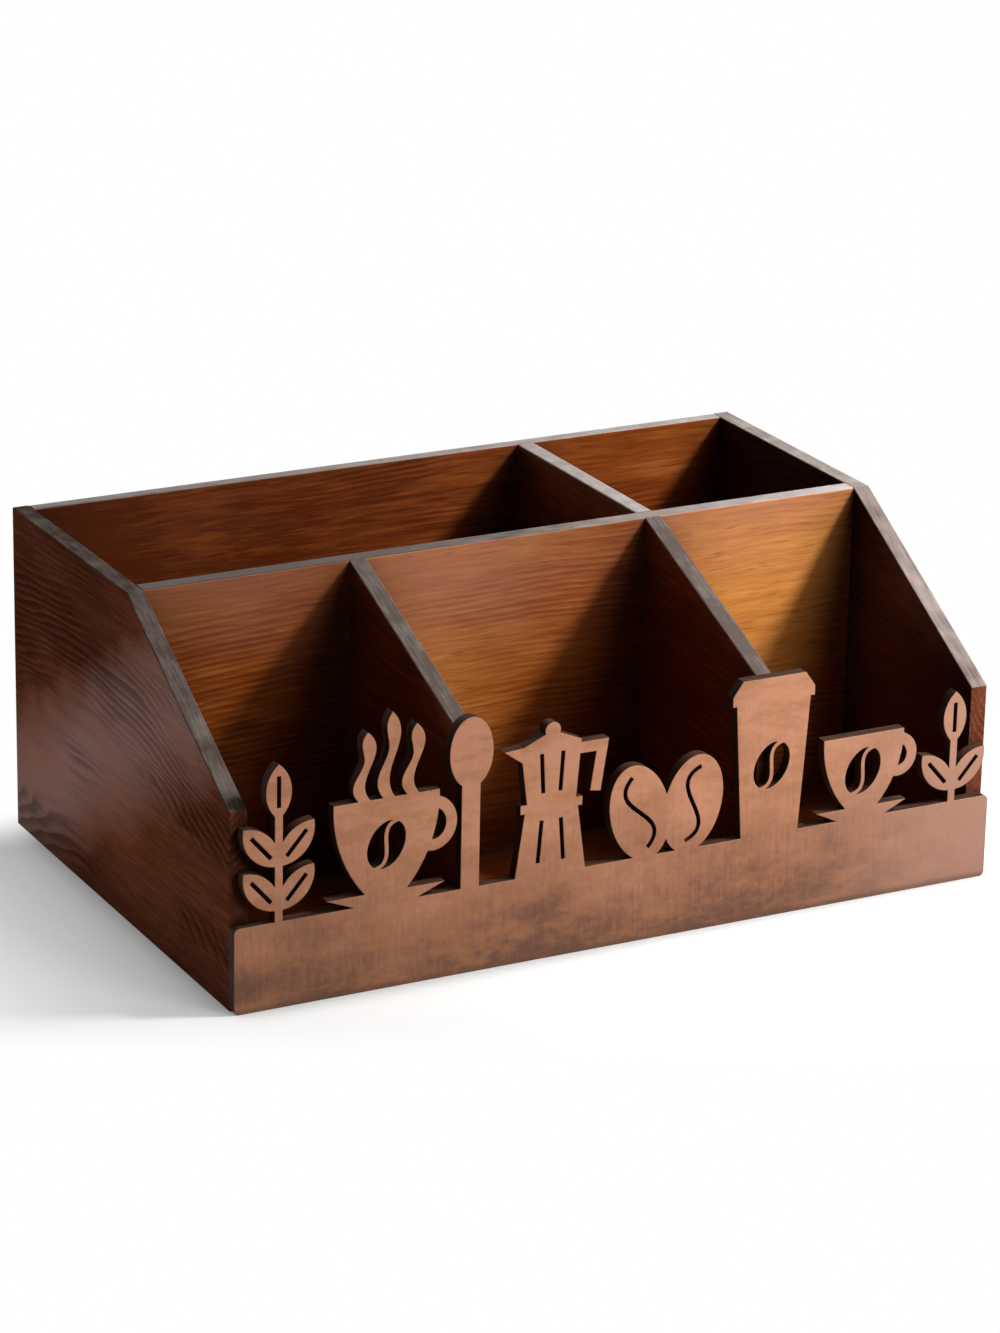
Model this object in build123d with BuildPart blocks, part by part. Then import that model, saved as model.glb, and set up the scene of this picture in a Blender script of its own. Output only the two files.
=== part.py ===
from build123d import *

import os

# A wooden coffee station organizer: two bays behind a long divider, three bays in front of it,
# sloping side boards, and a thin scroll-sawn front whose silhouettes rise from a plain rail.
# The boards meet in glued butt joints, pinned with hidden brads. Lengths are in millimetres.
# The origin is the centre of the base, +X runs to the right, +Y to the back and +Z up.

# Overall size
overall_width = 360.0
overall_depth = 234.0
overall_height = 148.0

# Boards
side_thickness = 8.0
divider_thickness = 8.0
back_thickness = 6.0
bottom_thickness = 5.0
fretwork_thickness = 5.0
side_front_height = 87.0
divider_front_height = 105.5
edge_ease = 0.7

# Bays, clear of the boards
front_bay_depth = 103.0
left_bay_width = 94.5
right_bay_width = 98.5

# Brads: long ones join the thick boards, short ones go through the thin ones
brad_radius = 0.6
brad_head_radius = 1.0
brad_head_thickness = 0.7
long_brad_length = 20.0
short_brad_length = 15.0
brad_setback = 1.0
brad_clearance = 0.03

# Fretwork rail, and how its silhouettes stand on it
rail_height = 38.0
rail_corner_radius = 2.5
silhouette_sink = 2.0
slit_width = 1.8

# Steaming cup and espresso cup
cup_width = 48.0
cup_height = 46.0
espresso_cup_width = 40.0
espresso_cup_height = 38.0
cup_handle_stroke = 5.0
saucer_height = 5.0
steam_width = 9.5
steam_height = 37.0

# Spoon, beaker with a lid, and stove-top pot
spoon_stem_width = 8.5
spoon_length = 75.0
spoon_bowl_width = 20.0
spoon_bowl_length = 31.0
beaker_width = 40.0
beaker_height = 60.0
beaker_lid_height = 11.0
pot_width = 50.0
pot_height = 67.0
pot_handle_stroke = 5.0
pot_knob_radius = 3.6

# Coffee beans, bean windows and leaves
bean_width = 28.0
bean_length = 44.0
window_width = 16.0
window_length = 22.0
leaf_width = 11.5
leaf_length = 24.0
sprig_stem_width = 3.5
tall_sprig_height = 48.0
short_sprig_height = 29.0

# Places of the boards, worked out from the sizes above
half_width = overall_width / 2
front_y = -overall_depth / 2
back_y = overall_depth / 2
board_front_y = front_y + fretwork_thickness
back_inner_y = back_y - back_thickness
long_front_y = board_front_y + front_bay_depth
long_rear_y = long_front_y + divider_thickness
inner_half_width = half_width - side_thickness
left_divider_x = -inner_half_width + left_bay_width + divider_thickness / 2
right_divider_x = inner_half_width - right_bay_width - divider_thickness / 2

os.makedirs("parts", exist_ok=True)


def spread(shares, width, height):
    """The points of an outline, from their shares of its width and height."""
    return [(across * width, up * height) for across, up in shares]


def brad_places(points, direction):
    """Where brads are driven: each point is the middle of a head, and the brad runs along the direction."""
    return [Plane(origin=point, z_dir=direction).location for point in points]


def brad_form(length, clearance=0.0):
    """One headed brad that stands on its head at the origin, or with a clearance the bore that it fills."""
    lowest = (Align.CENTER, Align.CENTER, Align.MIN)
    with BuildPart() as form:
        Cylinder(brad_radius + clearance, length + clearance, align=lowest)
        Cylinder(brad_head_radius + clearance, brad_head_thickness + clearance, align=lowest)
    return form.part


# Rows of brads: each has a name, its places and its length
board_row_shares = (0.17, 0.5, 0.83)
bottom_row_shares = (0.14, 0.36, 0.82)
pair_row_shares = (0.3, 0.72)
rail_row_shares = (0.36, 0.78)
width_row_shares = (-0.33, 0.05, 0.33)

head_x = half_width - brad_setback
back_mid_y = back_y - back_thickness / 2
long_mid_y = long_front_y + divider_thickness / 2
bottom_mid_z = bottom_thickness / 2
side_mid_x = half_width - side_thickness / 2
front_head_y = front_y + brad_setback
back_head_y = back_y - brad_setback
rear_bay_depth = back_inner_y - long_rear_y

bottom_ys = [front_y + share * overall_depth for share in bottom_row_shares]
front_bay_ys = [board_front_y + share * front_bay_depth for share in pair_row_shares]
rear_bay_ys = [long_rear_y + share * rear_bay_depth for share in pair_row_shares]
board_zs = [share * overall_height for share in board_row_shares]
pair_zs = [share * overall_height for share in pair_row_shares]
rail_zs = [share * rail_height for share in rail_row_shares]
width_xs = [share * overall_width for share in width_row_shares]

to_left, to_right = (-1, 0, 0), (1, 0, 0)
to_front, to_back, upward = (0, -1, 0), (0, 1, 0), (0, 0, 1)

brad_rows = {}


def add_brad_row(name, points, direction, length):
    """Notes one row of brads, which the boards are bored for and which is modelled at the end."""
    brad_rows[name] = (brad_places(points, direction), length)


for hand, sign, inward in (("left", -1, to_right), ("right", 1, to_left)):
    add_brad_row(
        f"brads_{hand}_side_to_back",
        [(sign * head_x, back_mid_y, z) for z in board_zs],
        inward,
        long_brad_length,
    )
    add_brad_row(
        f"brads_{hand}_side_to_long_divider",
        [(sign * head_x, long_mid_y, z) for z in board_zs],
        inward,
        long_brad_length,
    )
    add_brad_row(
        f"brads_{hand}_side_to_bottom",
        [(sign * head_x, y, bottom_mid_z) for y in bottom_ys],
        inward,
        long_brad_length,
    )
    add_brad_row(
        f"brads_fretwork_to_{hand}_side",
        [(sign * side_mid_x, front_head_y, z) for z in rail_zs],
        to_back,
        short_brad_length,
    )

for hand, divider_x in (("left", left_divider_x), ("right", right_divider_x)):
    add_brad_row(
        f"brads_fretwork_to_front_divider_{hand}",
        [(divider_x, front_head_y, z) for z in rail_zs],
        to_back,
        short_brad_length,
    )
    add_brad_row(
        f"brads_bottom_to_front_divider_{hand}",
        [(divider_x, y, brad_setback) for y in front_bay_ys],
        upward,
        short_brad_length,
    )

add_brad_row(
    "brads_fretwork_to_bottom",
    [(x, front_head_y, bottom_mid_z) for x in width_xs],
    to_back,
    short_brad_length,
)
add_brad_row(
    "brads_back_to_bottom",
    [(x, back_head_y, bottom_mid_z) for x in width_xs],
    to_front,
    long_brad_length,
)
add_brad_row(
    "brads_back_to_rear_divider",
    [(right_divider_x, back_head_y, z) for z in pair_zs],
    to_front,
    long_brad_length,
)
add_brad_row(
    "brads_bottom_to_long_divider",
    [(x, long_mid_y, brad_setback) for x in width_xs],
    upward,
    short_brad_length,
)
add_brad_row(
    "brads_bottom_to_rear_divider",
    [(right_divider_x, y, brad_setback) for y in rear_bay_ys],
    upward,
    short_brad_length,
)
add_brad_row(
    "brads_long_divider_to_rear_divider",
    [(right_divider_x, long_front_y + brad_setback, z) for z in pair_zs],
    to_back,
    long_brad_length,
)
add_brad_row(
    "brads_long_divider_to_front_divider_left",
    [(left_divider_x, long_rear_y - brad_setback, z) for z in pair_zs],
    to_front,
    long_brad_length,
)


bores = {length: brad_form(length, brad_clearance) for length in (long_brad_length, short_brad_length)}


def cut_bores(words):
    """Cuts the bores of each brad row that names the board being built."""
    for row_name, (places, length) in brad_rows.items():
        if words in row_name:
            with Locations(*places):
                add(bores[length], mode=Mode.SUBTRACT)


def write_piece(piece, name):
    """Labels a finished board or row of brads and writes it under its own name."""
    piece.part.label = name
    export_step(piece.part, f"parts/{name}.step")


# Side boards: level behind the long divider, then a slope down to the front
side_outline = (
    (board_front_y, 0),
    (board_front_y, side_front_height),
    (long_front_y, overall_height),
    (back_y, overall_height),
    (back_y, 0),
)

with BuildPart() as left_side:
    with BuildSketch(Plane.YZ.offset(-half_width)):
        with BuildLine():
            Polyline(*side_outline, close=True)
        make_face()
    extrude(amount=side_thickness)
    outer_face = left_side.faces().sort_by(Axis.X)[0]
    inner_face = left_side.faces().sort_by(Axis.X)[-1]
    inner_top_edges = inner_face.edges().sort_by(Axis.Z)[-2:]
    fillet(outer_face.edges() + inner_top_edges, edge_ease)
    cut_bores("left_side")
write_piece(left_side, "left_side")

with BuildPart() as right_side:
    with BuildSketch(Plane.YZ.offset(inner_half_width)):
        with BuildLine():
            Polyline(*side_outline, close=True)
        make_face()
    extrude(amount=side_thickness)
    outer_face = right_side.faces().sort_by(Axis.X)[-1]
    inner_face = right_side.faces().sort_by(Axis.X)[0]
    inner_top_edges = inner_face.edges().sort_by(Axis.Z)[-2:]
    fillet(outer_face.edges() + inner_top_edges, edge_ease)
    cut_bores("right_side")
write_piece(right_side, "right_side")

# Back panel: between the sides, over the full height
with BuildPart() as back_panel:
    with BuildSketch():
        with Locations((0, back_mid_y)):
            Rectangle(2 * inner_half_width, back_thickness)
    extrude(amount=overall_height)
    fillet(back_panel.faces().sort_by(Axis.Z)[-1].edges().filter_by(Axis.X), edge_ease)
    cut_bores("back")
write_piece(back_panel, "back_panel")

# Bottom panel: between the sides, under all the bays
with BuildPart() as bottom_panel:
    with BuildSketch():
        with Locations((0, (board_front_y + back_inner_y) / 2)):
            Rectangle(2 * inner_half_width, back_inner_y - board_front_y)
    extrude(amount=bottom_thickness)
    cut_bores("bottom")
write_piece(bottom_panel, "bottom_panel")

# Long divider: from side to side, standing on the bottom panel
with BuildPart() as long_divider:
    with BuildSketch(Plane.XY.offset(bottom_thickness)):
        with Locations((0, long_mid_y)):
            Rectangle(2 * inner_half_width, divider_thickness)
    extrude(amount=overall_height - bottom_thickness)
    fillet(long_divider.faces().sort_by(Axis.Z)[-1].edges().filter_by(Axis.X), edge_ease)
    cut_bores("long_divider")
write_piece(long_divider, "long_divider")

# Rear divider: between the long divider and the back panel
with BuildPart() as rear_divider:
    with BuildSketch(Plane.XY.offset(bottom_thickness)):
        with Locations((right_divider_x, (long_rear_y + back_inner_y) / 2)):
            Rectangle(divider_thickness, rear_bay_depth)
    extrude(amount=overall_height - bottom_thickness)
    fillet(rear_divider.faces().sort_by(Axis.Z)[-1].edges().filter_by(Axis.Y), edge_ease)
    cut_bores("rear_divider")
write_piece(rear_divider, "rear_divider")

# Front dividers: they slope from the long divider's top to the fretwork, less steeply than the sides
for name, divider_x in (("front_divider_left", left_divider_x), ("front_divider_right", right_divider_x)):
    with BuildPart() as front_divider:
        with BuildSketch(Plane.YZ.offset(divider_x - divider_thickness / 2)):
            with BuildLine():
                Polyline(
                    (board_front_y, bottom_thickness),
                    (board_front_y, divider_front_height),
                    (long_front_y, overall_height),
                    (long_front_y, bottom_thickness),
                    close=True,
                )
            make_face()
        extrude(amount=divider_thickness)
        slope_face = front_divider.faces().sort_by(Axis.Z)[-1]
        slope_edges = slope_face.edges().filter_by(Axis.X, reverse=True)
        fillet(slope_edges, edge_ease)
        cut_bores(name)
    write_piece(front_divider, name)


# Silhouettes of the fretwork. Each is drawn in its own sketch, about the middle of its foot.


def bean_sketch(width, length, crease_reach_share):
    """An oval coffee bean about the origin, with a curved crease that reaches to a share of its length."""
    crease_bow_share = 0.17
    with BuildSketch() as bean:
        Ellipse(width / 2, length / 2)
        with BuildLine():
            Spline(
                (0, -crease_reach_share * length),
                (crease_bow_share * width, -crease_reach_share * length / 2),
                (0, 0),
                (-crease_bow_share * width, crease_reach_share * length / 2),
                (0, crease_reach_share * length),
            )
        trace(line_width=slit_width, mode=Mode.SUBTRACT)
    return bean.sketch


# The crease stops short of the ends of a bean. In a window it runs right through, and is the wood that stays.
bean_crease_share = 0.38
window_crease_share = 0.53
window_lean = -28
bean = bean_sketch(bean_width, bean_length, bean_crease_share)
window = bean_sketch(window_width, window_length, window_crease_share)


def cup_sketch(width, height):
    """A cup on a saucer, with a ring handle and a bean window."""
    foot_half_share, belly_half_share, rim_half_share = 0.2, 0.44, 0.5
    belly_rise_share, handle_rise_share, saucer_half_share = 0.5, 0.64, 0.56
    handle_reach_share, handle_half_height_share = 0.23, 0.26
    bowl_height = height - saucer_height
    belly_z = saucer_height + belly_rise_share * bowl_height
    handle_z = saucer_height + handle_rise_share * bowl_height
    handle_reach = handle_reach_share * width
    handle_half_height = handle_half_height_share * height
    handle_hole_reach = handle_reach - cup_handle_stroke
    handle_hole_half_height = handle_half_height - cup_handle_stroke
    with BuildSketch() as cup:
        with Locations((belly_half_share * width, handle_z)):
            Ellipse(handle_reach, handle_half_height)
            Ellipse(handle_hole_reach, handle_hole_half_height, mode=Mode.SUBTRACT)
        with BuildLine():
            rim = Line((-rim_half_share * width, height), (rim_half_share * width, height))
            right_wall = ThreePointArc(
                rim @ 1,
                (belly_half_share * width, belly_z),
                (foot_half_share * width, saucer_height),
            )
            foot = Line(right_wall @ 1, (-foot_half_share * width, saucer_height))
            ThreePointArc(foot @ 1, (-belly_half_share * width, belly_z), rim @ 0)
        make_face()
        with BuildLine():
            Polyline(
                (-saucer_half_share * width, saucer_height),
                (saucer_half_share * width, saucer_height),
                (foot_half_share * width, -silhouette_sink),
                (-foot_half_share * width, -silhouette_sink),
                close=True,
            )
        make_face()
        with Locations(Location((0, belly_z), window_lean)):
            add(window, mode=Mode.SUBTRACT)
    return cup.sketch


cup = cup_sketch(cup_width, cup_height)
espresso_cup = cup_sketch(espresso_cup_width, espresso_cup_height)

# One wisp of steam, waving as it rises to a point
wisp_left_shares = ((-0.28, 0), (-0.5, 0.27), (-0.02, 0.58), (-0.12, 0.82), (0.14, 1))
wisp_right_shares = ((0.14, 1), (0.5, 0.66), (0.08, 0.33), (0.28, 0))
with BuildSketch() as wisp:
    with BuildLine():
        Spline(*spread(wisp_left_shares, steam_width, steam_height))
        Spline(*spread(wisp_right_shares, steam_width, steam_height))
        Line((wisp_right_shares[-1][0] * steam_width, 0), (wisp_left_shares[0][0] * steam_width, 0))
    make_face()

# Upright spoon, its bowl at the top of a stem that flares into it
with BuildSketch() as spoon:
    bowl_z = spoon_length - spoon_bowl_length / 2
    with Locations((0, bowl_z)):
        Ellipse(spoon_bowl_width / 2, spoon_bowl_length / 2)
    with BuildLine():
        Polyline(
            (-spoon_stem_width / 2, -silhouette_sink),
            (-spoon_stem_width / 2, bowl_z),
            (spoon_stem_width / 2, bowl_z),
            (spoon_stem_width / 2, -silhouette_sink),
            close=True,
        )
    make_face()

# Stove-top pot: a faceted boiler, a waist, a jug with a spout, a lid with a knob, and an angled handle
pot_body_shares = (
    (-0.33, 0),
    (-0.25, 0.42),
    (-0.29, 0.42),
    (-0.29, 0.48),
    (-0.23, 0.48),
    (-0.28, 0.76),
    (-0.45, 0.85),
    (-0.27, 0.86),
    (-0.05, 0.93),
    (0.05, 0.93),
    (0.27, 0.86),
    (0.23, 0.48),
    (0.29, 0.48),
    (0.29, 0.42),
    (0.25, 0.42),
    (0.33, 0),
)
pot_handle_shares = ((0.2, 0.8), (0.47, 0.8), (0.41, 0.5))
pot_facet_shares = (((-0.12, 0.08), (-0.09, 0.36)), ((0.12, 0.08), (0.09, 0.36)))
pot_jug_facet_shares = (((-0.08, 0.54), (-0.1, 0.8)), ((0.08, 0.54), (0.1, 0.8)))
with BuildSketch() as pot:
    with BuildLine():
        Polyline(*spread(pot_handle_shares, pot_width, pot_height))
    trace(line_width=pot_handle_stroke)
    with BuildLine():
        Polyline(*spread(pot_body_shares, pot_width, pot_height), close=True)
    make_face()
    with Locations((0, pot_height - pot_knob_radius)):
        Circle(pot_knob_radius)
    for facet in pot_facet_shares + pot_jug_facet_shares:
        with BuildLine():
            Line(*spread(facet, pot_width, pot_height))
        trace(line_width=slit_width, mode=Mode.SUBTRACT)

# Beaker with a lid: a tapered wall, a bean window, a rim and a raised lid
beaker_wall_shares = ((-0.35, 0), (-0.45, 1), (0.45, 1), (0.35, 0))
beaker_window_rise_share, lid_rim_share, lid_top_half_share = 0.52, 0.4, 0.38
with BuildSketch() as beaker:
    with BuildLine():
        Polyline(*spread(beaker_wall_shares, beaker_width, beaker_height), close=True)
    make_face()
    with Locations((0, beaker_height)):
        Rectangle(beaker_width, lid_rim_share * beaker_lid_height, align=(Align.CENTER, Align.MIN))
    with BuildLine():
        Polyline(
            (-beaker_width / 2, beaker_height + lid_rim_share * beaker_lid_height),
            (-lid_top_half_share * beaker_width, beaker_height + beaker_lid_height),
            (lid_top_half_share * beaker_width, beaker_height + beaker_lid_height),
            (beaker_width / 2, beaker_height + lid_rim_share * beaker_lid_height),
            close=True,
        )
    make_face()
    with Locations(Location((0, beaker_window_rise_share * beaker_height), window_lean)):
        add(window, mode=Mode.SUBTRACT)

# One leaf on end, with a slit along its vein
vein_shares = (0.22, 0.78)
with BuildSketch() as leaf:
    with BuildLine():
        right_side_of_leaf = ThreePointArc((0, 0), (leaf_width / 2, leaf_length / 2), (0, leaf_length))
        ThreePointArc(right_side_of_leaf @ 1, (-leaf_width / 2, leaf_length / 2), (0, 0))
    make_face()
    with BuildLine():
        Line(*[(0, share * leaf_length) for share in vein_shares])
    trace(line_width=slit_width, mode=Mode.SUBTRACT)


def sprig_sketch(height, pair_rise_shares):
    """A stem with pairs of leaning leaves and one leaf on end."""
    top_rise_share = 0.92
    pair_lean = 41
    with BuildSketch() as sprig:
        with BuildLine():
            Line((0, -silhouette_sink), (0, height))
        trace(line_width=sprig_stem_width)
        with Locations((0, top_rise_share * height)):
            add(leaf.sketch)
        for rise_share in pair_rise_shares:
            with Locations(
                Location((0, rise_share * height), pair_lean),
                Location((0, rise_share * height), -pair_lean),
            ):
                add(leaf.sketch)
    return sprig.sketch


tall_sprig_pair_shares = (0.1, 0.5)
short_sprig_pair_shares = (0.18,)
tall_sprig = sprig_sketch(tall_sprig_height, tall_sprig_pair_shares)
short_sprig = sprig_sketch(short_sprig_height, short_sprig_pair_shares)

# Where the silhouettes stand along the rail, as shares of the overall width from the middle
tall_sprig_place_share = -0.445
cup_place_share = -0.311
pot_place_share = -0.1
bean_place_shares = (0.017, 0.088)
espresso_cup_place_share = 0.32
short_sprig_place_share = 0.447
bean_leans = (14, -12)
steam_place_shares = (-0.21, 0.02, 0.25)
steam_rise_shares = (0.8, 1.0, 0.82)

# Fretwork front: the rail and its silhouettes, sawn from one thin board
with BuildPart() as front_fretwork:
    with BuildSketch(Plane.XZ.offset(-board_front_y)):
        with Locations((0, rail_height / 2)):
            RectangleRounded(overall_width, rail_height, rail_corner_radius)
        with Locations((tall_sprig_place_share * overall_width, rail_height)):
            add(tall_sprig)
        with Locations((cup_place_share * overall_width, rail_height)):
            add(cup)
        for place_share, rise_share in zip(steam_place_shares, steam_rise_shares):
            wisp_x = cup_place_share * overall_width + place_share * cup_width
            with Locations((wisp_x, rail_height + cup_height)):
                add(scale(wisp.sketch, (1, rise_share, 1), mode=Mode.PRIVATE))
        with Locations((left_divider_x, rail_height)):
            add(spoon.sketch)
        with Locations((pot_place_share * overall_width, rail_height)):
            add(pot.sketch)
        for place_share, lean in zip(bean_place_shares, bean_leans):
            bean_z = rail_height + bean_length / 2 - silhouette_sink
            with Locations(Location((place_share * overall_width, bean_z), lean)):
                add(bean)
        with Locations((right_divider_x, rail_height)):
            add(beaker.sketch)
        with Locations((espresso_cup_place_share * overall_width, rail_height)):
            add(espresso_cup)
        with Locations((short_sprig_place_share * overall_width, rail_height)):
            add(short_sprig)
    extrude(amount=fretwork_thickness)
    cut_bores("fretwork")
write_piece(front_fretwork, "front_fretwork")

# Brads: one node for each glued joint
brads = {length: brad_form(length) for length in (long_brad_length, short_brad_length)}
for name, (places, length) in brad_rows.items():
    with BuildPart() as brad_row:
        with Locations(*places):
            add(brads[length])
    write_piece(brad_row, name)
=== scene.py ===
# The looks of the coffee station organizer: stained wood with a satin lacquer, on a pale floor.
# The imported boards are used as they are. Lengths are in metres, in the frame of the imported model:
# +X runs to the right, +Y to the back and +Z up, from the middle of the base.

import math

import bpy
from mathutils import Matrix, Vector


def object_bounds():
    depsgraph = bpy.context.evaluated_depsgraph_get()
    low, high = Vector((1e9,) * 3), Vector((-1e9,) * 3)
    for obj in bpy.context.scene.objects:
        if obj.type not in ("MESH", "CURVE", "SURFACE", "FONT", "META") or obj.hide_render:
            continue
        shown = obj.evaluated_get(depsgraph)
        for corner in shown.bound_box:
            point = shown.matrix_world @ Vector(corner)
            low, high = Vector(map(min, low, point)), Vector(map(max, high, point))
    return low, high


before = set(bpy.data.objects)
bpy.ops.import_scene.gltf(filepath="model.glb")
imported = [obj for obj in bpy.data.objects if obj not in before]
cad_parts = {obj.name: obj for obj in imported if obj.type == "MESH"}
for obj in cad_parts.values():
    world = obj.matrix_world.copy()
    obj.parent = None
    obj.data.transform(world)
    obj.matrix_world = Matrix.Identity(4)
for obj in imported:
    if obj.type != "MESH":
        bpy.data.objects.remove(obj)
cad_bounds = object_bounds()
scene = bpy.context.scene
half_width = cad_bounds[1][0]


# Camera, at the photograph's viewing angle

camera_place = Vector((-0.9078, -1.7266, 0.7831))
camera_turn = math.radians(-27.74)
camera_tilt = math.radians(-19.67)
camera_roll = math.radians(1.10)
focal_length_mm = 128.2
sensor_size_mm = 36.0
nearest_shown, farthest_shown = 0.05, 50.0


def aim(turn, tilt, roll):
    """A rotation that looks along +Y turned about Z, tilted up and rolled about the view."""
    upright = Matrix.Rotation(math.radians(90) + tilt, 4, "X")
    return Matrix.Rotation(turn, 4, "Z") @ upright @ Matrix.Rotation(roll, 4, "Z")


def add_camera():
    """The scene's camera, without shift or depth of field."""
    data = bpy.data.cameras.new("camera")
    data.sensor_fit = "AUTO"
    data.sensor_width = sensor_size_mm
    data.lens = focal_length_mm
    data.clip_start = nearest_shown
    data.clip_end = farthest_shown
    camera = bpy.data.objects.new("camera", data)
    view = aim(camera_turn, camera_tilt, camera_roll)
    camera.matrix_world = Matrix.Translation(camera_place) @ view
    scene.collection.objects.link(camera)
    scene.camera = camera


# Node helpers: a value that they take is a number, or another node's output

lean_on_flats, lean_on_arrises = 0.995, 0.86
easing = 0.0005
lacquer_ior = 1.5
facing_limit = 0.5  # a face looks a way where its direction has more than this share of it
slope_limit = 0.95  # an upward face slopes where less than this share of its direction is up


def new_tree(name):
    """A material, and its tree emptied for new nodes."""
    material = bpy.data.materials.new(name)
    material.use_nodes = True
    tree = material.node_tree
    tree.nodes.clear()
    return material, tree


def add_node(tree, kind, inputs=None, **settings):
    """A node with its settings, and its inputs set to values or linked to outputs."""
    node = tree.nodes.new(kind)
    for name, value in settings.items():
        setattr(node, name, value)
    for name, value in (inputs or {}).items():
        if isinstance(value, bpy.types.NodeSocket):
            tree.links.new(value, node.inputs[name])
        else:
            node.inputs[name].default_value = value
    return node


def calculate(tree, operation, first, second=0.0, third=0.0, clamp=False):
    """The result of a Math node."""
    inputs = {0: first, 1: second, 2: third}
    return add_node(tree, "ShaderNodeMath", inputs, operation=operation, use_clamp=clamp).outputs[0]


def add_part(tree, total, part, weight, clamp=False):
    """A total with a part added by its weight."""
    return calculate(tree, "MULTIPLY_ADD", part, weight, total, clamp)


def add_swing(tree, total, mark, weight, clamp=False):
    """A total with a mark from 0 to 1 added as a swing about 0."""
    return add_part(tree, total, calculate(tree, "SUBTRACT", mark, 0.5), weight, clamp)


def vector_calculate(tree, operation, first, second):
    """The vector result of a Vector Math node."""
    inputs = {0: first, 1: second}
    return add_node(tree, "ShaderNodeVectorMath", inputs, operation=operation).outputs[0]


def scaled(tree, colour, share):
    """A colour darkened to a share of itself."""
    inputs = {0: colour, "Scale": share}
    return add_node(tree, "ShaderNodeVectorMath", inputs, operation="SCALE").outputs[0]


def separated(tree, vector):
    """The X, Y and Z of a vector."""
    return add_node(tree, "ShaderNodeSeparateXYZ", {0: vector}).outputs


def object_places(tree):
    """Places in the CAD frame."""
    return add_node(tree, "ShaderNodeTexCoord").outputs["Object"]


def face_directions(tree):
    """The X, Y and Z of the direction in which a face looks."""
    return separated(tree, add_node(tree, "ShaderNodeNewGeometry").outputs["True Normal"])


def noise(tree, places, scale, detail=2.0, roughness=0.5):
    """The value of a noise, whose scale is in features per metre."""
    inputs = {"Vector": places, "Scale": scale, "Detail": detail, "Roughness": roughness}
    return add_node(tree, "ShaderNodeTexNoise", inputs).outputs["Fac"]


def stretched(tree, places, along):
    """Places drawn out along X, so that each feature is that many times as long as it is wide."""
    return vector_calculate(tree, "MULTIPLY", places, (1.0 / along, 1.0, 1.0))


def marks(tree, places, stretch, **noise_settings):
    """The value of a noise that is drawn out along X."""
    return noise(tree, stretched(tree, places, stretch), **noise_settings)


def remap(tree, value, from_low, from_high, to_low=0.0, to_high=1.0):
    """A value moved smoothly from one range to another, and held inside it."""
    inputs = {
        "Value": value,
        "From Min": from_low,
        "From Max": from_high,
        "To Min": to_low,
        "To Max": to_high,
    }
    node = add_node(tree, "ShaderNodeMapRange", inputs, interpolation_type="SMOOTHSTEP")
    return node.outputs["Result"]


def ramp(tree, value, stops):
    """A colour ramp, from stops of place and colour."""
    node = add_node(tree, "ShaderNodeValToRGB", {"Fac": value})
    elements = node.color_ramp.elements
    elements[0].position, elements[0].color = stops[0][0], (*stops[0][1], 1)
    elements[1].position, elements[1].color = stops[-1][0], (*stops[-1][1], 1)
    for position, colour in stops[1:-1]:
        elements.new(position).color = (*colour, 1)
    return node.outputs["Color"]


def blend_colours(tree, factor, first, second):
    """Two colours mixed by a factor. The second may be given as three numbers."""
    if isinstance(second, tuple):
        second = (*second, 1)
    inputs = {0: factor, 6: first, 7: second}
    return add_node(tree, "ShaderNodeMix", inputs, data_type="RGBA").outputs[2]


def openness(tree, reach, samples):
    """1 in the open, falling toward 0 where other surfaces come near."""
    inputs = {"Distance": reach}
    return add_node(tree, "ShaderNodeAmbientOcclusion", inputs, samples=samples).outputs["AO"]


def edge_mask(tree, reach):
    """Near 1 on and beside an arris and 0 on the flats, from how far a rounded normal leans."""
    rounded = add_node(tree, "ShaderNodeBevel", {"Radius": reach}, samples=6).outputs[0]
    flat = add_node(tree, "ShaderNodeNewGeometry").outputs["Normal"]
    inputs = {0: rounded, 1: flat}
    lean = add_node(tree, "ShaderNodeVectorMath", inputs, operation="DOT_PRODUCT").outputs["Value"]
    return remap(tree, lean, lean_on_flats, lean_on_arrises)


def bumped(tree, relief, strength, depth):
    """A normal with eased edges and a fine relief."""
    eased = add_node(tree, "ShaderNodeBevel", {"Radius": easing}, samples=4).outputs[0]
    inputs = {"Strength": strength, "Distance": depth, "Height": relief, "Normal": eased}
    return add_node(tree, "ShaderNodeBump", inputs).outputs[0]


def add_surface(tree, inputs):
    """The Principled shader with its inputs, linked to the output."""
    surface = add_node(tree, "ShaderNodeBsdfPrincipled", inputs)
    add_node(tree, "ShaderNodeOutputMaterial", {"Surface": surface.outputs[0]})


# Wood: stains from the darkest grain to the lightest wood between it

board_stain = (
    (0.0, (0.085, 0.014, 0.001)),
    (0.3, (0.21, 0.046, 0.005)),
    (0.6, (0.35, 0.120, 0.023)),
    (1.0, (0.62, 0.248, 0.058)),
)
# Painted shade: a darker stain for the inward faces of the sides, which stand in shade
inner_stain = (
    (0.0, (0.048, 0.018, 0.013)),
    (1.0, (0.120, 0.047, 0.035)),
)
outer_stain = (
    (0.0, (0.085, 0.024, 0.012)),
    (0.4, (0.16, 0.047, 0.023)),
    (0.75, (0.29, 0.086, 0.043)),
    (1.0, (0.42, 0.136, 0.074)),
)
rim_stain = (
    (0.0, (0.070, 0.048, 0.040)),
    (0.5, (0.26, 0.213, 0.192)),
    (1.0, (0.51, 0.480, 0.460)),
)
# Painted sheen near the rims
rim_haze_colour = (0.36, 0.140, 0.107)
# Arrises lightened partly by rubbing and partly with a painted highlight
rubbed_brown = (0.30, 0.19, 0.14)

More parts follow.
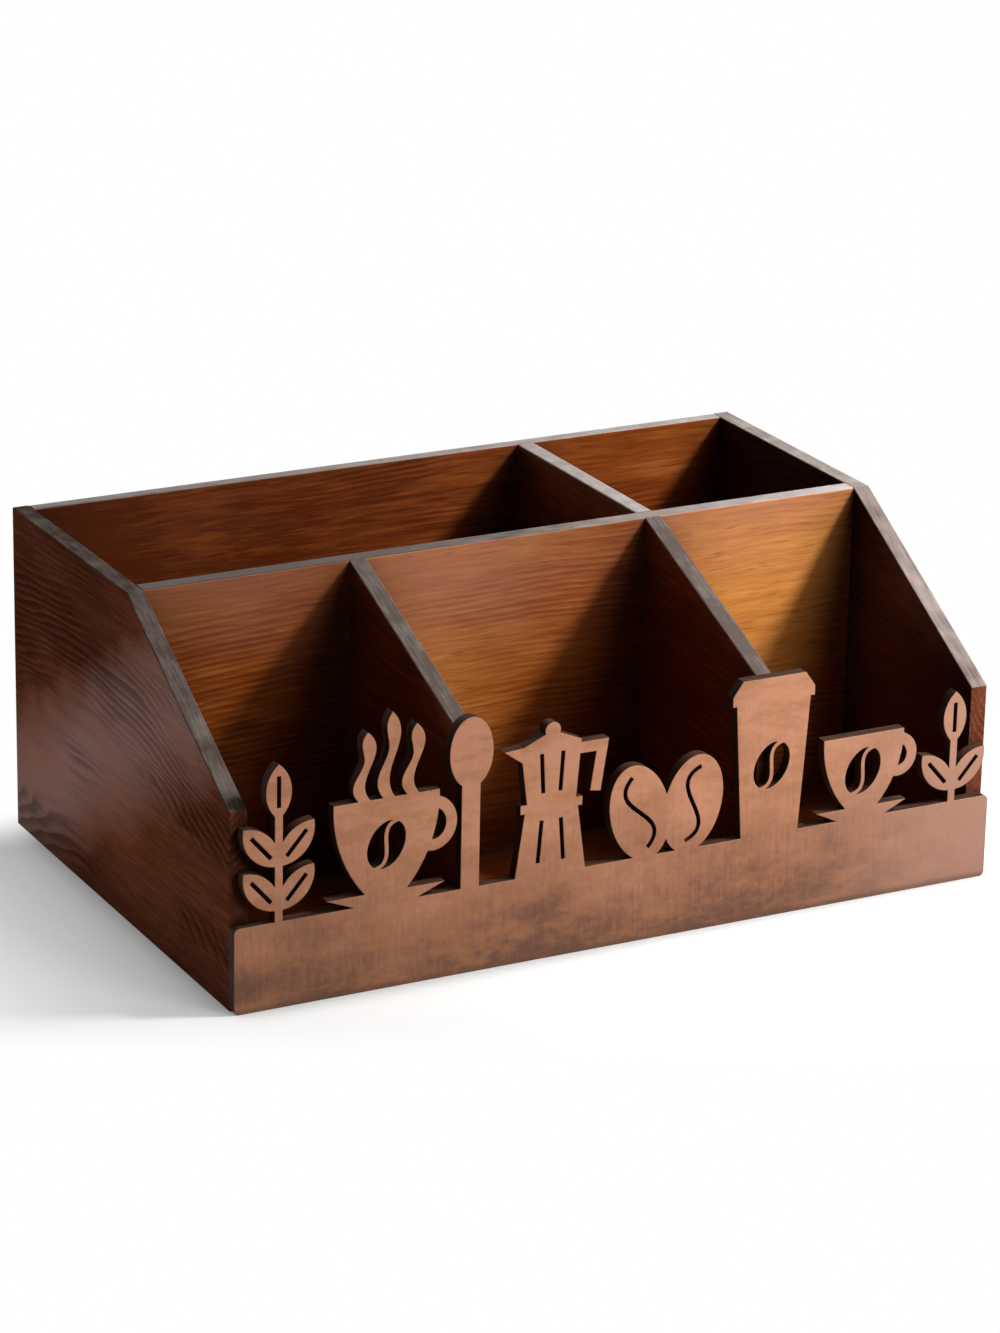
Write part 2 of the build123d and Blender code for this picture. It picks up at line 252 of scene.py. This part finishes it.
# Wood: its marks, and how much each one counts in the tone of the stain
streak_marks = {"stretch": 18.0, "scale": 800.0, "detail": 3.0, "roughness": 0.65}
band_marks = {"stretch": 12.0, "scale": 210.0}
pore_marks = {"stretch": 22.0, "scale": 1500.0, "detail": 1.0}
blotch_scale = 16.0
pore_start, pore_full = 0.62, 0.72
streak_weight, band_weight, blotch_weight = 0.9, 0.45, 0.45
line_mean = 0.25
pore_darkness = 0.45
plain_height = 0.1

# Wood: growth lines and the slow wander of the grain
wander_scale, wander_width = 10.0, 0.008
ripple_marks = {"stretch": 7.0, "scale": 60.0}
fading_marks = {"stretch": 3.0, "scale": 28.0, "detail": 1.0}
line_peak, line_drop = 0.8, 0.86
line_faint, line_full = 0.42, 0.68

# Wood: painted sheen under the rims, painted shade in the inner corners, and arrises lightened by rubbing
# and a painted highlight
haze_start, haze_full = 0.098, 0.168
haze_unevenness, haze_drop_sideways = 0.05, 0.2
# Painted shade in the inner corners
corner_reach, corner_depth = 0.035, 0.6
corner_closed = 0.5
arris_reach = 0.0008
arris_wear = (0.35, 0.65, 0.15, 0.65)

# Wood: upward edges
rim_streak_shape = (0.08, 1.0, 0.08)
rim_streak_scale, rim_streak_roughness, rim_streak_weight = 1000.0, 0.6, 0.55
rim_patch_scale, rim_patch_weight = 90.0, 0.6

# Wood: the band of gloss on the sides, and how the grain breaks it up
polish_slant, polish_height, polish_reach = 0.58, 0.093, 0.05
polish_noise = {"scale": 35.0, "detail": 3.0, "roughness": 0.6}
polish_unevenness = 0.03
gloss_by_swing = (-0.3, 0.2, 0.45, 1.25)

# Wood: relief
relief_strength, relief_depth = 0.3, 0.0001
streak_relief, pore_relief, line_relief = 0.6, -0.7, -0.35
roughness_range = (0.7, 1.3)


def grain_places(tree, coordinates, look):
    """Places on the board and in its own cut of wood, with the grain along X and a slow wander."""
    inputs = {"Vector": coordinates, "Rotation": look["grain"]}
    turned = add_node(tree, "ShaderNodeMapping", inputs).outputs[0]
    moved = vector_calculate(tree, "ADD", turned, look["offset"])
    inputs = {"Vector": moved, "Scale": wander_scale, "Detail": 1.0}
    wander = add_node(tree, "ShaderNodeTexNoise", inputs).outputs["Color"]
    centred = vector_calculate(tree, "SUBTRACT", wander, (0.5, 0.5, 0.5))
    drift = vector_calculate(tree, "MULTIPLY", centred, (0.0, wander_width, wander_width))
    return vector_calculate(tree, "ADD", turned, drift), vector_calculate(tree, "ADD", moved, drift)


def growth_lines(tree, board_places, own_places, look):
    """Yearly growth from 0 to 1: long arches about a heart below the board, that fade in and out."""
    from_heart = vector_calculate(tree, "SUBTRACT", board_places, look["heart"])
    squeezed = stretched(tree, from_heart, look["arch"])
    radius = add_node(tree, "ShaderNodeVectorMath", {0: squeezed}, operation="LENGTH").outputs["Value"]
    radius = add_part(tree, radius, marks(tree, own_places, **ripple_marks), look["ripple"])
    step = calculate(tree, "FRACT", calculate(tree, "DIVIDE", radius, look["line_spacing"]))
    rise = remap(tree, step, 0.0, line_peak)
    fall = remap(tree, step, 1.0, line_drop)
    strength = remap(tree, marks(tree, own_places, **fading_marks), line_faint, line_full)
    return calculate(tree, "MULTIPLY", calculate(tree, "MULTIPLY", rise, fall), strength)


def wood_marks(tree, look):
    """Where a point of a board lies, which way it faces, and its marks from 0 to 1."""
    coordinates = object_places(tree)
    board_places, places = grain_places(tree, coordinates, look)
    return {
        "coordinates": coordinates,
        "places": places,
        "axes": separated(tree, coordinates),
        "facing": face_directions(tree),
        "lines": growth_lines(tree, board_places, places, look),
        "streaks": marks(tree, places, **streak_marks),
        "bands": marks(tree, places, **band_marks),
        "blotches": noise(tree, coordinates, blotch_scale),
        "pores": remap(tree, marks(tree, places, **pore_marks), pore_start, pore_full),
    }


def wood_swing(tree, wood, look):
    """How far the marks lighten or darken the wood, about 0 so that its shade stays as given."""
    swing = add_part(tree, look["line_depth"] * line_mean, wood["lines"], -look["line_depth"])
    swing = add_swing(tree, swing, wood["streaks"], streak_weight)
    swing = add_swing(tree, swing, wood["bands"], band_weight)
    return add_swing(tree, swing, wood["blotches"], blotch_weight)


def changed_by_bay(tree, value, changes, wood):
    """A value with changes along X, each from a start to an end, on faces toward the front."""
    if not changes:
        return value
    toward_front = calculate(tree, "LESS_THAN", wood["facing"]["Y"], -facing_limit)
    for start, end, change in changes:
        amount = remap(tree, wood["axes"]["X"], start, end, 0.0, change)
        value = add_part(tree, value, amount, toward_front)
    return value


def wood_tone(tree, wood, swing, look):
    """Where a board's stain lies on its ramp, with painted light and shade rightward, upward and by bay.
    """
    shade = add_part(tree, look["shade"], wood["axes"]["X"], look["lighter_rightward"])
    shade = changed_by_bay(tree, shade, look["bay_tones"], wood)
    height = calculate(tree, "SUBTRACT", wood["axes"]["Z"], plain_height)
    shade = add_part(tree, shade, height, look["lighter_upward"])
    return add_part(tree, shade, swing, look["contrast"], clamp=True)


def stained_colour(tree, wood, tone, look):
    """The stain, with a darker one on inner faces as painted shade, and darker in the pores."""
    colour = ramp(tree, tone, look["stain"])
    if look["inward"]:
        inward = calculate(tree, "MULTIPLY", wood["facing"]["X"], look["inward"])
        inside = calculate(tree, "GREATER_THAN", inward, facing_limit)
        colour = blend_colours(tree, inside, colour, ramp(tree, tone, inner_stain))
    darkest = look["stain"][0][1]
    return blend_colours(tree, calculate(tree, "MULTIPLY", wood["pores"], pore_darkness), colour, darkest)


def hazed_colour(tree, colour, wood, look):
    """Painted sheen: a paler colour toward the rim, deepest in the middle of the board, and changed by
    bay.
    """
    from_middle = calculate(tree, "ABSOLUTE", wood["axes"]["X"])
    level = add_part(tree, wood["axes"]["Z"], wood["blotches"], haze_unevenness)
    level = add_part(tree, level, from_middle, -haze_drop_sideways)
    worn = remap(tree, level, haze_start, haze_full)
    haze = changed_by_bay(tree, look["rim_haze"], look["bay_haze"], wood)
    return blend_colours(tree, calculate(tree, "MULTIPLY", worn, haze), colour, rim_haze_colour)


def cornered_colour(tree, colour):
    """Painted shade: a darker colour in the inner corners."""
    nearby = openness(tree, corner_reach, samples=6)
    return scaled(tree, colour, remap(tree, nearby, corner_closed, 1.0, 1.0 - corner_depth, 1.0))


def rim_colour(tree, wood, look):
    """Grey-brown with short streaks along the board, with painted light and shade in its tone by board,
    to the right and on slopes.
    """
    drawn_out = vector_calculate(tree, "MULTIPLY", wood["places"], rim_streak_shape)
    streaks = noise(tree, drawn_out, rim_streak_scale, roughness=rim_streak_roughness)
    patches = noise(tree, wood["coordinates"], rim_patch_scale)
    tone = add_part(tree, look["rim"], wood["axes"]["X"], look["rim_rightward"])
    on_slope = calculate(tree, "LESS_THAN", wood["facing"]["Z"], slope_limit)
    tone = add_part(tree, tone, on_slope, look["rim_on_slope"])
    tone = add_swing(tree, tone, streaks, rim_streak_weight)
    tone = add_swing(tree, tone, patches, rim_patch_weight, clamp=True)
    return ramp(tree, tone, rim_stain)


def rubbed_colour(tree, colour, wood):
    """Every arris a little lighter, partly from rubbing and partly as a painted highlight, more on some
    streaks than on others.
    """
    wear = remap(tree, wood["streaks"], *arris_wear)
    rubbed = calculate(tree, "MULTIPLY", edge_mask(tree, arris_reach), wear)
    return blend_colours(tree, rubbed, colour, rubbed_brown)


def side_gloss(tree, wood, swing):
    """A broad slanting band of glossier lacquer, broken up by the grain."""
    along = add_part(tree, wood["axes"]["Z"], wood["axes"]["Y"], polish_slant)
    uneven = add_part(tree, along, noise(tree, wood["coordinates"], **polish_noise), polish_unevenness)
    distance = calculate(tree, "ABSOLUTE", calculate(tree, "SUBTRACT", uneven, polish_height))
    band = remap(tree, distance, polish_reach, 0.0)
    return calculate(tree, "MULTIPLY", band, remap(tree, swing, *gloss_by_swing))


def wood_relief(tree, wood):
    """The height of the lacquered grain: pores and growth lines lie low."""
    relief = calculate(tree, "MULTIPLY", wood["streaks"], streak_relief)
    relief = add_part(tree, relief, wood["pores"], pore_relief)
    return add_part(tree, relief, wood["lines"], line_relief)


def wood_material(name, look):
    """Open-grained stained wood of one board."""
    material, tree = new_tree(name)
    wood = wood_marks(tree, look)
    swing = wood_swing(tree, wood, look)
    colour = stained_colour(tree, wood, wood_tone(tree, wood, swing, look), look)
    if look["rim_haze"]:
        colour = hazed_colour(tree, colour, wood, look)
    colour = cornered_colour(tree, colour)
    if look["rim"] is not None:
        on_rim = calculate(tree, "GREATER_THAN", wood["facing"]["Z"], facing_limit)
        colour = blend_colours(tree, on_rim, colour, rim_colour(tree, wood, look))
    specular = look["sheen"]
    if look["polish"]:
        specular = add_part(tree, specular, side_gloss(tree, wood, swing), look["polish"])
    unevenness = calculate(tree, "ADD", wood["blotches"], wood["streaks"])
    add_surface(tree, {
        "Base Color": rubbed_colour(tree, colour, wood),
        "Roughness": remap(tree, unevenness, *roughness_range, *look["roughness"]),
        "Normal": bumped(tree, wood_relief(tree, wood), relief_strength, relief_depth),
        "IOR": lacquer_ior,
        "Specular IOR Level": specular,
    })
    return material


# Front board: copper-brown stain, its clouds, smears and fibres, and its sawn edges

fretwork_stain = (
    (0.0, (0.135, 0.058, 0.036)),
    (0.26, (0.245, 0.101, 0.056)),
    (0.85, (0.47, 0.207, 0.111)),
    (1.0, (0.56, 0.250, 0.140)),
)
sawn_stain = (
    (0.3, (0.022, 0.010, 0.006)),
    (0.7, (0.055, 0.027, 0.018)),
)
smear_colour = (0.37, 0.156, 0.068)
dull_colour = (0.39, 0.213, 0.156)
fretwork_arris = (0.12, 0.055, 0.035)

cloud_shape, cloud_weight = (0.4, 1.0, 1.0), 0.6
cloud_noise = {"scale": 55.0, "detail": 3.0, "roughness": 0.55}
fibre_shape, fibre_weight = (1.0, 1.0, 0.08), 0.3
fibre_noise = {"scale": 650.0, "roughness": 0.6}
fretwork_blotch_scale, fretwork_blotch_weight = 18.0, 0.45
mottle_noise, mottle_weight = {"scale": 380.0, "detail": 4.0, "roughness": 0.6}, 0.34
darker_rightward = -0.4
foot_start, foot_full, foot_unevenness, foot_weight = 0.036, 0.004, 0.01, -0.2
top_start, top_full, top_weight = 0.004, 0.085, 0.4
fretwork_tone_range = (0.345, 1.175)
smear_marks = {"stretch": 2.2, "scale": 150.0, "detail": 4.0, "roughness": 0.62}
smear_share = (0.42, 0.68, 0.0, 0.6)
dull_share = (0.07, 0.18, 0.0, 0.7)
foot_line_share = (0.0035, 0.0008, 0.0, 0.6)
ply_shape, ply_noise = (0.1, 1.0, 0.1), {"scale": 900.0, "detail": 1.0}
fretwork_arris_reach, fretwork_arris_share = 0.0007, 0.45
fibre_strength, fibre_depth = 0.25, 0.00008
fretwork_roughness = (0.3, 0.7, 0.46, 0.6)
face_specular, sawn_specular = 0.3, 0.05


def fretwork_tone(tree, coordinates, axes, clouds, fibres):
    """Cloudy, lighter toward the tops of the figures and darker along the foot."""
    tone = calculate(tree, "MULTIPLY", clouds, cloud_weight)
    tone = add_part(tree, tone, fibres, fibre_weight)
    tone = add_part(tree, tone, noise(tree, coordinates, fretwork_blotch_scale), fretwork_blotch_weight)
    tone = add_swing(tree, tone, noise(tree, coordinates, **mottle_noise), mottle_weight)
    tone = add_part(tree, tone, axes["X"], darker_rightward)
    foot_level = add_part(tree, axes["Z"], clouds, foot_unevenness)
    tone = add_part(tree, tone, remap(tree, foot_level, foot_start, foot_full), foot_weight)
    tone = add_part(tree, tone, remap(tree, axes["Z"], top_start, top_full), top_weight)
    return remap(tree, tone, *fretwork_tone_range)


def fretwork_face(tree, coordinates, axes, tone):
    """Brush smears of a warmer stain, a paler right end, and a dark line along the foot."""
    face = ramp(tree, tone, fretwork_stain)
    smeared = remap(tree, marks(tree, coordinates, **smear_marks), *smear_share)
    face = blend_colours(tree, smeared, face, smear_colour)
    face = blend_colours(tree, remap(tree, axes["X"], *dull_share), face, dull_colour)
    return blend_colours(tree, remap(tree, axes["Z"], *foot_line_share), face, fretwork_arris)


def fretwork_material(name):
    """Smooth copper-brown plywood with faint upright grain, and darker sawn edges."""
    material, tree = new_tree(name)
    coordinates = object_places(tree)
    axes = separated(tree, coordinates)
    clouds = noise(tree, vector_calculate(tree, "MULTIPLY", coordinates, cloud_shape), **cloud_noise)
    fibres = noise(tree, vector_calculate(tree, "MULTIPLY", coordinates, fibre_shape), **fibre_noise)
    tone = fretwork_tone(tree, coordinates, axes, clouds, fibres)
    face = fretwork_face(tree, coordinates, axes, tone)

    # The sawn edges look neither to the front nor to the back
    front_or_back = calculate(tree, "ABSOLUTE", face_directions(tree)["Y"])
    sawn = calculate(tree, "LESS_THAN", front_or_back, facing_limit)
    plies = noise(tree, vector_calculate(tree, "MULTIPLY", coordinates, ply_shape), **ply_noise)
    colour = blend_colours(tree, sawn, face, ramp(tree, plies, sawn_stain))
    arris = calculate(tree, "MULTIPLY", edge_mask(tree, fretwork_arris_reach), fretwork_arris_share)
    add_surface(tree, {
        "Base Color": blend_colours(tree, arris, colour, fretwork_arris),
        "Roughness": remap(tree, clouds, *fretwork_roughness),
        "Normal": bumped(tree, fibres, fibre_strength, fibre_depth),
        "IOR": lacquer_ior,
        "Specular IOR Level": remap(tree, sawn, 0.0, 1.0, face_specular, sawn_specular),
    })
    return material


# Brads

steel_scale = 2500.0
steel_colours = ((0.3, (0.42, 0.42, 0.43)), (0.7, (0.6, 0.6, 0.61)))
steel_roughness = (0.3, 0.7, 0.3, 0.45)


def steel_material(name):
    """Bright drawn wire of the hidden brads."""
    material, tree = new_tree(name)
    drawn = noise(tree, object_places(tree), steel_scale)
    add_surface(tree, {
        "Base Color": ramp(tree, drawn, steel_colours),
        "Roughness": remap(tree, drawn, *steel_roughness),
        "Metallic": 1.0,
    })
    return material


# How each board looks

along_x = (0.0, 0.0, 0.0)
along_y = (0.0, 0.0, math.radians(-90))


def board_look(offset, **changes):
    """One board's cut of wood, its shade from 0 to 1, and how strong each effect is.

    The heart of the growth lines is given along the grain, across it and up, and each arch is
    drawn out along the grain. A rim of None leaves the upward faces as stained as the rest.
    """
    look = {
        "offset": offset,
        "grain": along_x,
        "stain": board_stain,
        "heart": (0.05, 0.0, -0.35),
        "arch": 2.5,
        "line_spacing": 0.0034,
        "line_depth": 0.2,
        "ripple": 0.006,
        "shade": 0.5,
        # Painted light and shade: the tone grows to the right and upward, and changes by bay, where the
        # lamps reach a board unevenly
        "lighter_rightward": 0.0,
        "lighter_upward": 0.6,
        "bay_tones": (),
        "contrast": 1.0,
        "inward": 0.0,
        # Painted light and shade on the rims: their tone by board, its rise to the right, and darker
        # slopes
        "rim": 0.3,
        "rim_rightward": 0.0,
        "rim_on_slope": 0.0,
        # Painted sheen toward the rim, changing by bay
        "rim_haze": 0.0,
        "bay_haze": (),
        "sheen": 0.22,
        "polish": 0.0,
        "roughness": (0.38, 0.52),
    }
    look.update(changes)
    return look


outer_board = {
    "grain": along_y,
    "stain": outer_stain,
    "heart": (0.03, 0.0, -0.06),
    "arch": 1.5,
    "line_spacing": 0.0024,
    "line_depth": 0.5,
    "ripple": 0.010,
    "lighter_upward": -1.2,
    "sheen": 0.0,
    "polish": 0.152,
    "roughness": (0.42, 0.55),
}
calm_board = {
    "line_depth": 0.28,
    "line_spacing": 0.0028,
    "contrast": 0.75,
}

# Painted light and painted sheen on the front of the long divider, from one X to another: falling across
# a bay toward the divider that shades it, and rising behind a divider
divider_bay_tones = (
    (-0.172, -0.082, -0.10),
    (-0.082, -0.073, 0.35),
    (-0.073, 0.065, -0.36),
    (0.065, 0.074, 0.48),
)
divider_bay_haze = (
    (-0.14, -0.082, -0.22),
    (-0.082, -0.073, 0.25),
    (-0.045, 0.05, -0.38),
    (0.065, 0.074, 0.35),
)
board_looks = {
    "left_side": board_look(
        (0.3, 0.1, 0.2), shade=0.40, rim=0.11, inward=1.0, **outer_board),
    "right_side": board_look(
        (1.3, 0.5, 0.7), shade=0.28, rim=0.49, rim_on_slope=-0.22, inward=-1.0, **outer_board),
    "back_panel": board_look(
        (2.1, 0.9, 0.4), shade=0.06, lighter_rightward=1.2, lighter_upward=1.4,
        rim=0.45, rim_rightward=1.0, **calm_board),
    "long_divider": board_look(
        (3.2, 1.7, 1.1), shade=0.40, lighter_upward=1.8, bay_tones=divider_bay_tones,
        rim=0.14, rim_rightward=3.3, rim_haze=0.5, bay_haze=divider_bay_haze, sheen=0.12,
        **calm_board),
    # The dividers' low shades are partly stain and partly painted shade, as their faces stand in shadow
    "rear_divider": board_look((4.4, 2.3, 1.9), grain=along_y, shade=0.06, rim=0.58),
    "front_divider_left": board_look((5.6, 3.1, 2.5), grain=along_y, shade=0.12, rim=0.06),
    "front_divider_right": board_look((6.1, 4.3, 3.4), grain=along_y, shade=0.10, rim=0.02),
    "bottom_panel": board_look((7.7, 5.2, 4.6), shade=0.4, lighter_upward=0.0, rim=None),
}


def dress(node_name, material):
    """Gives a CAD node one material."""
    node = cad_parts[node_name]
    node.data.materials.clear()
    node.data.materials.append(material)


def dress_all():
    """Gives each board its own wood, and all brads the same steel."""
    for node_name, look in board_looks.items():
        dress(node_name, wood_material(f"wood_{node_name}", look))
    dress("front_fretwork", fretwork_material("wood_front_fretwork"))
    steel = steel_material("brad_steel")
    for node_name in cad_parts:
        if node_name.startswith("brads_"):
            dress(node_name, steel)


# Floor and background

floor_half_size = 4.0
floor_colours = ((0.3, (0.51, 0.507, 0.50)), (0.7, (0.53, 0.527, 0.52)))
floor_grain_scale, floor_grain_detail = 60.0, 3.0
floor_glow = 0.38
floor_roughness = 0.5
unseen_floor_share = 0.4
# Painted shadow where the floor meets the object
contact_reach, contact_depth = 0.018, 0.8
shade_start, shade_width = 0.012, 0.14
shade_front_start, shade_front_end = -0.175, -0.228
shade_front_turn = math.radians(-27.4)
shade_back_start, shade_back_end = 0.085, 0.135
ambient_strength = 0.015


def shown_ray(tree):
    """1 for rays that show the background: from the camera, off gloss and through glass."""
    path = add_node(tree, "ShaderNodeLightPath").outputs
    shown = calculate(tree, "MAXIMUM", path["Is Camera Ray"], path["Is Glossy Ray"])
    return calculate(tree, "MAXIMUM", shown, path["Is Transmission Ray"])


def beyond_shade(tree, coordinates):
    """0 on the floor beside the object, where its shadow lies, and 1 where the floor is white."""
    axes = separated(tree, coordinates)
    inputs = {"Vector": coordinates, "Rotation": (0, 0, -shade_front_turn)}
    slant = separated(tree, add_node(tree, "ShaderNodeMapping", inputs).outputs[0])["Y"]
    past_left = calculate(tree, "SUBTRACT", -half_width, axes["X"])
    past_start = calculate(tree, "SUBTRACT", past_left, shade_start)
    leftward = calculate(tree, "DIVIDE", past_start, shade_width - shade_start, clamp=True)
    rightward = remap(tree, axes["X"], half_width, half_width + shade_width)
    frontward = remap(tree, slant, shade_front_start, shade_front_end)
    backward = remap(tree, axes["Y"], shade_back_start, shade_back_end)
    sideways = calculate(tree, "MAXIMUM", leftward, rightward)
    return calculate(tree, "MAXIMUM", sideways, calculate(tree, "MAXIMUM", frontward, backward))


def floor_material(name):
    """Pale and matte, with the object's shadow beside it and a painted shadow around its foot, running
    out to white.
    """
    material, tree = new_tree(name)
    coordinates = object_places(tree)
    shown = shown_ray(tree)
    paper = noise(tree, coordinates, floor_grain_scale, floor_grain_detail)
    # Painted shadow: the floor darkens where it meets the object
    open_floor = openness(tree, contact_reach, samples=8)
    contact = remap(tree, open_floor, 0.0, 1.0, 1.0 - contact_depth, 1.0)
    level = calculate(tree, "MULTIPLY", contact, remap(tree, shown, 0.0, 1.0, unseen_floor_share, 1.0))
    colour = scaled(tree, ramp(tree, paper, floor_colours), level)
    inputs = {"Color": colour, "Roughness": floor_roughness}
    matte = add_node(tree, "ShaderNodeBsdfDiffuse", inputs).outputs[0]
    glow_strength = calculate(tree, "MULTIPLY", calculate(tree, "MULTIPLY", shown, floor_glow), contact)
    glow = add_node(tree, "ShaderNodeEmission", {"Strength": glow_strength}).outputs[0]
    near = add_node(tree, "ShaderNodeAddShader", {0: matte, 1: glow}).outputs[0]
    white = add_node(tree, "ShaderNodeEmission", {"Strength": shown}).outputs[0]
    hidden = calculate(tree, "MULTIPLY", beyond_shade(tree, coordinates), shown)
    surface = add_node(tree, "ShaderNodeMixShader", {0: hidden, 1: near, 2: white}).outputs[0]
    add_node(tree, "ShaderNodeOutputMaterial", {"Surface": surface})
    return material


def add_floor():
    """A flat square floor at the height of the object's base."""
    mesh = bpy.data.meshes.new("floor")
    corners = [(-1, -1), (1, -1), (1, 1), (-1, 1)]
    places = [(x * floor_half_size, y * floor_half_size, 0) for x, y in corners]
    mesh.from_pydata(places, [], [(0, 1, 2, 3)])
    mesh.materials.append(floor_material("pale_floor"))
    floor = bpy.data.objects.new("floor", mesh)
    scene.collection.objects.link(floor)


def add_world():
    """White where it shows, and a weak even light on matte surfaces."""
    world = bpy.data.worlds.new("world")
    scene.world = world
    world.use_nodes = True
    tree = world.node_tree
    tree.nodes.clear()
    strength = remap(tree, shown_ray(tree), 0.0, 1.0, ambient_strength, 1.0)
    background = add_node(tree, "ShaderNodeBackground", {"Color": (1, 1, 1, 1), "Strength": strength})
    add_node(tree, "ShaderNodeOutputWorld", {"Surface": background.outputs[0]})


# Lamps

key_place = Vector((0.895, -0.52, 0.98))
key_target = Vector((0.45, -0.25, 0.0))
key_radius = 0.12
key_cone = math.radians(76)
key_power = 175.0

front_place = Vector((0.62, -1.38, 0.75))
front_target = Vector((0.05, 0.0, 0.05))
front_size = 0.6
front_power = 7.0

left_place = Vector((-1.3, 0.1, 0.06))
left_target = Vector((-0.18, 0.0, 0.06))
left_size = 0.12
left_power = 2.7

back_place = Vector((-0.2, 1.6, 0.7))
back_target = Vector((0.0, 0.0, 0.08))
back_size = 0.6
back_power = 5.5


def add_lamp(name, kind, place, target, power):
    """A lamp of a kind at a place, facing a target. Its data is given back for its size."""
    data = bpy.data.lights.new(name, kind)
    data.energy = power
    lamp = bpy.data.objects.new(name, data)
    lamp.location = place
    lamp.rotation_euler = (target - place).to_track_quat("-Z", "Y").to_euler()
    scene.collection.objects.link(lamp)
    return data


def add_lamps():
    """A strong lamp high on the right, whose soft-edged cone is brightest there, and soft ones around."""
    key = add_lamp("key", "SPOT", key_place, key_target, key_power)
    key.shadow_soft_size = key_radius
    key.spot_size = key_cone
    key.spot_blend = 1.0
    add_lamp("front", "AREA", front_place, front_target, front_power).size = front_size
    add_lamp("left", "AREA", left_place, left_target, left_power).size = left_size
    add_lamp("back", "AREA", back_place, back_target, back_power).size = back_size


dress_all()
add_floor()
add_world()
add_lamps()
add_camera()
scene.view_settings.view_transform = "Standard"
